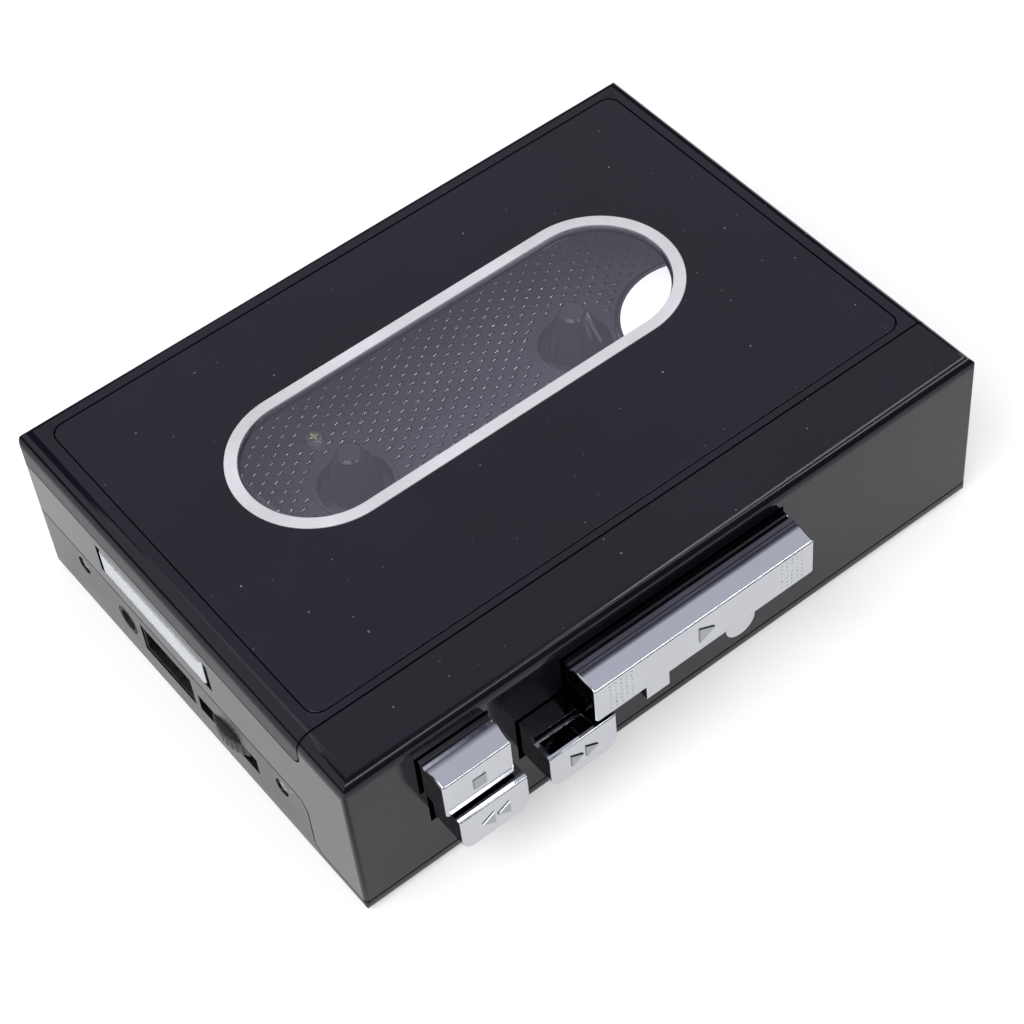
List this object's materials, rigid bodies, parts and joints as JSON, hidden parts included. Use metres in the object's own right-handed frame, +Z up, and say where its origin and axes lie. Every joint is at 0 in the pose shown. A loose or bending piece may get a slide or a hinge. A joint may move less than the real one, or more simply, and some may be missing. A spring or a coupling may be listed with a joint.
{
  "type": "portable compact cassette player",
  "caption": "Pocket tape player with hinged window lid, thumb latch, push keys along one long edge, thumb wheel volume, headphone jack, USB socket and a sliding battery door.",
  "frame": {"origin": "centre of the flat underside of the rear cover, on the surface it lies on", "axes": "+X along the key side towards the hinge, +Y from the keys towards the battery side, +Z up through the lid"},
  "size_m": [0.116, 0.0902, 0.0311],
  "materials": {
    "case_gloss": "gloss piano black",
    "case_satin": "satin",
    "panel_gloss": "mirror gloss",
    "silver_trim": "brushed",
    "lens": "clear",
    "key_chrome": "polished",
    "latch_silver": "fine serrated",
    "bay_plastic": "satin textured",
    "spindle_plastic": "satin",
    "steel": "satin",
    "spring_steel": "bright",
    "brass": "turned",
    "rubber": "matt",
    "label_white": "paper",
    "board_green": "solder mask",
    "component_black": "moulded",
    "gear_white": "moulded",
    "knob_black": "satin"
  },
  "bodies": {
    "case": {"main_case": "case_gloss", "rear_cover": "case_satin", "hinge_pins": "steel", "bay_deck": "bay_plastic", "deck_screws": "brass", "bay_label": "label_white", "chassis_plate": "steel", "chassis_screws": "steel", "side_screws": "steel", "bar_rivets": "steel", "key_springs": "spring_steel", "latch_spring": "spring_steel", "idler_stud": "steel", "motor": "steel", "drive_belt": "rubber", "circuit_board": "board_green", "board_components": "component_black", "headphone_jack": "component_black", "usb_shell": "steel", "usb_tongue": "component_black", "volume_pot": "component_black", "battery_plates": "spring_steel", "battery_spring": "spring_steel"},
    "lid": {"door_frame": "case_gloss", "door_panel": "panel_gloss", "window_ring": "silver_trim", "window_lens": "lens", "tape_pressure_springs": "spring_steel"},
    "latch": {"latch_slider": "latch_silver", "latch_hook": "steel"},
    "battery_hatch": {"battery_door": "case_satin"},
    "stop": {"stop_key": "key_chrome", "stop_bar": "steel"},
    "play": {"play_key": "key_chrome", "play_bar": "steel", "head_plate": "steel", "tape_head": "spring_steel"},
    "rewind": {"rewind_key": "key_chrome", "rewind_bar": "steel"},
    "fast_forward": {"fast_forward_key": "key_chrome", "fast_forward_bar": "steel"},
    "pinch": {"pinch_arm": "steel"},
    "roller": {"pinch_roller": "rubber"},
    "supply_reel": {"supply_spindle": "spindle_plastic", "supply_wheel": "gear_white"},
    "takeup_reel": {"takeup_spindle": "spindle_plastic", "takeup_wheel": "gear_white"},
    "capstan_drive": {"capstan": "steel", "flywheel": "brass"},
    "idler": {"idler_wheel": "gear_white"},
    "motor_rotor": {"motor_pulley": "brass"},
    "volume": {"volume_wheel": "knob_black"}
  },
  "joints": [
    {"name": "lid_hinge", "type": "hinge", "parent": "case", "child": "lid", "pos_m": [0.0545, 0, 0.0269], "axis": [0, 1, 0], "range_deg": [0, 90]},
    {"name": "latch_slide", "type": "slide", "parent": "case", "child": "latch", "axis": [0, 1, 0], "range_m": [-0.0013, 0.0007], "stiffness_N_per_m": 150},
    {"name": "battery_door_slide", "type": "slide", "parent": "case", "child": "battery_hatch", "axis": [0, 1, 0], "range_m": [0, 0.0148]},
    {"name": "stop_press", "type": "slide", "parent": "case", "child": "stop", "axis": [0, 1, 0], "range_m": [0, 0.0028], "stiffness_N_per_m": 500},
    {"name": "play_press", "type": "slide", "parent": "case", "child": "play", "axis": [0, 1, 0], "range_m": [0, 0.0028], "stiffness_N_per_m": 700},
    {"name": "rewind_press", "type": "slide", "parent": "case", "child": "rewind", "axis": [0, 1, 0], "range_m": [0, 0.0028], "stiffness_N_per_m": 500},
    {"name": "fast_forward_press", "type": "slide", "parent": "case", "child": "fast_forward", "axis": [0, 1, 0], "range_m": [0, 0.0028], "stiffness_N_per_m": 500},
    {"name": "pinch_pivot", "type": "hinge", "parent": "case", "child": "pinch", "pos_m": [0.0255, -0.0272, 0.0169], "axis": [0, 0, 1], "range_deg": [0, 11]},
    {"name": "roller_spin", "type": "hinge", "parent": "pinch", "child": "roller", "pos_m": [0.034, -0.0257, 0.0224], "axis": [0, 0, 1], "continuous": true},
    {"name": "supply_spin", "type": "hinge", "parent": "case", "child": "supply_reel", "pos_m": [-0.0199, 0.0099, 0.01], "axis": [0, 0, 1], "continuous": true},
    {"name": "capstan_spin", "type": "hinge", "parent": "case", "child": "capstan_drive", "pos_m": [0.034, -0.0184, 0.01], "axis": [0, 0, 1], "continuous": true},
    {"name": "takeup_spin", "type": "hinge", "parent": "case", "child": "takeup_reel", "pos_m": [0.0226, 0.0099, 0.01], "axis": [0, 0, 1], "continuous": true},
    {"name": "idler_spin", "type": "hinge", "parent": "case", "child": "idler", "pos_m": [0.02942, -0.00702, 0.0084], "axis": [0, 0, 1], "continuous": true},
    {"name": "motor_spin", "type": "hinge", "parent": "case", "child": "motor_rotor", "pos_m": [-0.008, -0.02, 0.01], "axis": [0, 0, 1], "continuous": true},
    {"name": "volume_turn", "type": "hinge", "parent": "case", "child": "volume", "pos_m": [-0.0505, -0.0087, 0.0082], "axis": [0, 0, 1], "range_deg": [-135, 135]}
  ],
  "couplings": [
    {"joint": "pinch_pivot", "follows": "play_press", "rad_per_m": 68},
    {"joint": "takeup_spin", "follows": "capstan_spin", "ratio": 0.4},
    {"joint": "idler_spin", "follows": "capstan_spin", "ratio": -0.49},
    {"joint": "motor_spin", "follows": "capstan_spin", "ratio": 5.8}
  ]
}
